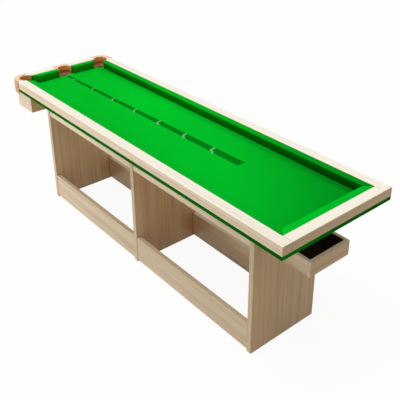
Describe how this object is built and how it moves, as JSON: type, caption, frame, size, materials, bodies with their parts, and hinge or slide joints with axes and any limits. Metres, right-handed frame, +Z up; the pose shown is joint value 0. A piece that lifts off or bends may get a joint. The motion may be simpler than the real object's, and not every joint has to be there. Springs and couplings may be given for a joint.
{
  "type": "practice pool table",
  "caption": "Long narrow practice pool table on a panel base, with pockets at one end only, leather pocket collars, a sloped ball return and an open ball tray.",
  "frame": {"origin": "On the floor, at the centre of the middle leg panel's foot", "axes": "+X along the table to the end without pockets, +Y across it to the side away from the viewer, +Z up"},
  "size_m": [2.403, 0.706, 0.842],
  "materials": {
    "rail_wood": "satin lacquer over pale fine grain",
    "base_wood": "satin lacquer over pale fine grain",
    "pale_wood": "plain sanded board",
    "bed_wood": "raw board",
    "tenon_wood": "plain beech",
    "green_cloth": "napped wool cloth",
    "cushion_cloth": "rubber under napped wool cloth",
    "tan_leather": "soft tan leather",
    "black_lining": "matt black lining",
    "facing_rubber": "rubber under cloth",
    "zinc_steel": "zinc plated"
  },
  "bodies": {
    "root": {"back_corner_collar": "tan_leather", "back_cushion": "cushion_cloth", "back_rail": "rail_wood", "back_stretcher_far_bay": "base_wood", "back_stretcher_near_bay": "base_wood", "back_top_rail_far_bay": "base_wood", "back_top_rail_near_bay": "base_wood", "bed_board": "bed_wood", "bed_brackets": "zinc_steel", "bed_cloth": "green_cloth", "bracket_screws": "zinc_steel", "collector_back_wall": "pale_wood", "collector_floor": "pale_wood", "collector_front_wall": "pale_wood", "collector_inner_wall": "pale_wood", "collector_outer_wall": "pale_wood", "collector_ramp_back": "pale_wood", "collector_ramp_front": "pale_wood", "far_back_cushion": "cushion_cloth", "far_back_rail": "rail_wood", "far_front_cushion": "cushion_cloth", "far_front_rail": "rail_wood", "far_leg_panel": "base_wood", "front_corner_collar": "tan_leather", "front_cushion": "cushion_cloth", "front_rail": "rail_wood", "front_stretcher_far_bay": "base_wood", "front_stretcher_near_bay": "base_wood", "front_top_rail_far_bay": "base_wood", "front_top_rail_near_bay": "base_wood", "jaw_facings": "facing_rubber", "middle_collar": "tan_leather", "middle_leg_panel": "base_wood", "near_end_cushion": "cushion_cloth", "near_end_rail": "rail_wood", "near_leg_panel": "base_wood", "rail_bolts": "zinc_steel", "rail_washers": "zinc_steel", "tenons": "tenon_wood", "tray_floor": "base_wood", "tray_front": "base_wood", "tray_lining": "black_lining", "tray_side_back": "base_wood", "tray_side_front": "base_wood", "trough_floor": "pale_wood", "trough_side_back": "pale_wood", "trough_side_front": "pale_wood"}
  },
  "joints": []
}
